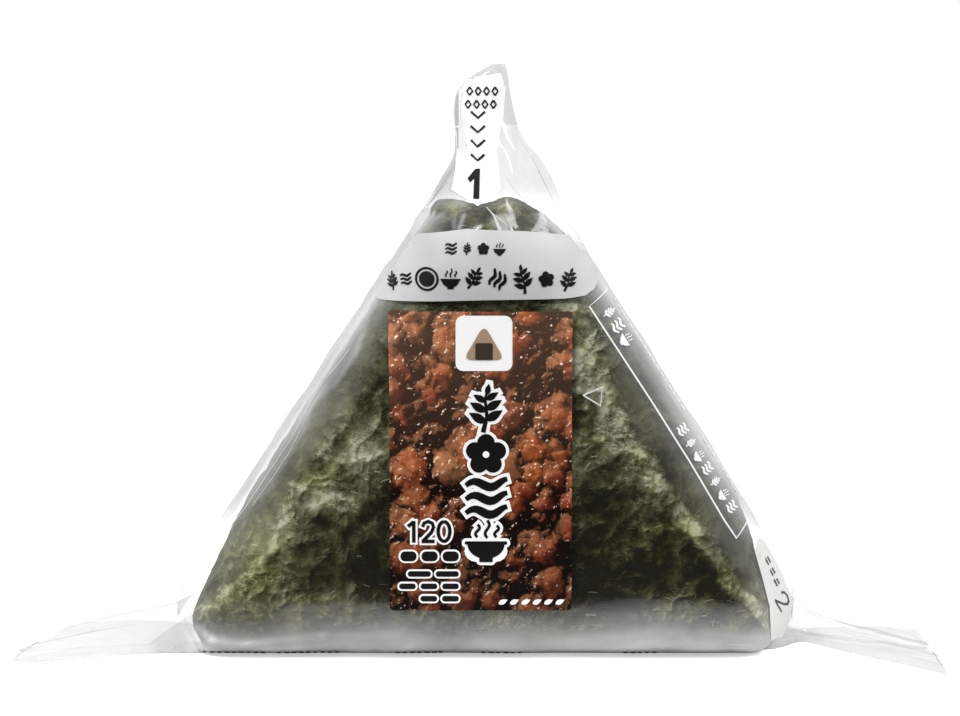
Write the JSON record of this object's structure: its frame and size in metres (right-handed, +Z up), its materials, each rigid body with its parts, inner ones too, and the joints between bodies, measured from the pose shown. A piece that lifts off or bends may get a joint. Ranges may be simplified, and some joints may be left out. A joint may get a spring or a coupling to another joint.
{
  "type": "wrapped onigiri rice ball",
  "caption": "Triangular rice ball in seaweed, sealed in clear film with a gathered crest and folded ears, with a picture label on its front; stands on its flat base.",
  "frame": {"origin": "centre of the flat base the pack stands on", "axes": "+X to the right of the printed front, along the ears; +Y from the front through to the back; +Z up to the crest"},
  "size_m": [0.1418, 0.042, 0.0902],
  "materials": {
    "film": "thin clear polypropylene film with a faint milky haze, soft creases and a glossy face",
    "label": "glossy printed sticker in brown and orange crumbs, with a white plate and plain marks",
    "seaweed": "roasted seaweed sheet, fibrous and mottled from near black to yellow green, satin",
    "band_print": "opaque cool pale grey ink on the film, with plain dark marks",
    "tab_print": "opaque white ink on the film, with plain black chevrons and numbers",
    "line_print": "fine white lines and bars of ink on the film",
    "base_print": "fine dark bars of ink on the film"
  },
  "bodies": {
    "root": {"film_wrapper": "film", "picture_label": "label"}
  },
  "joints": []
}
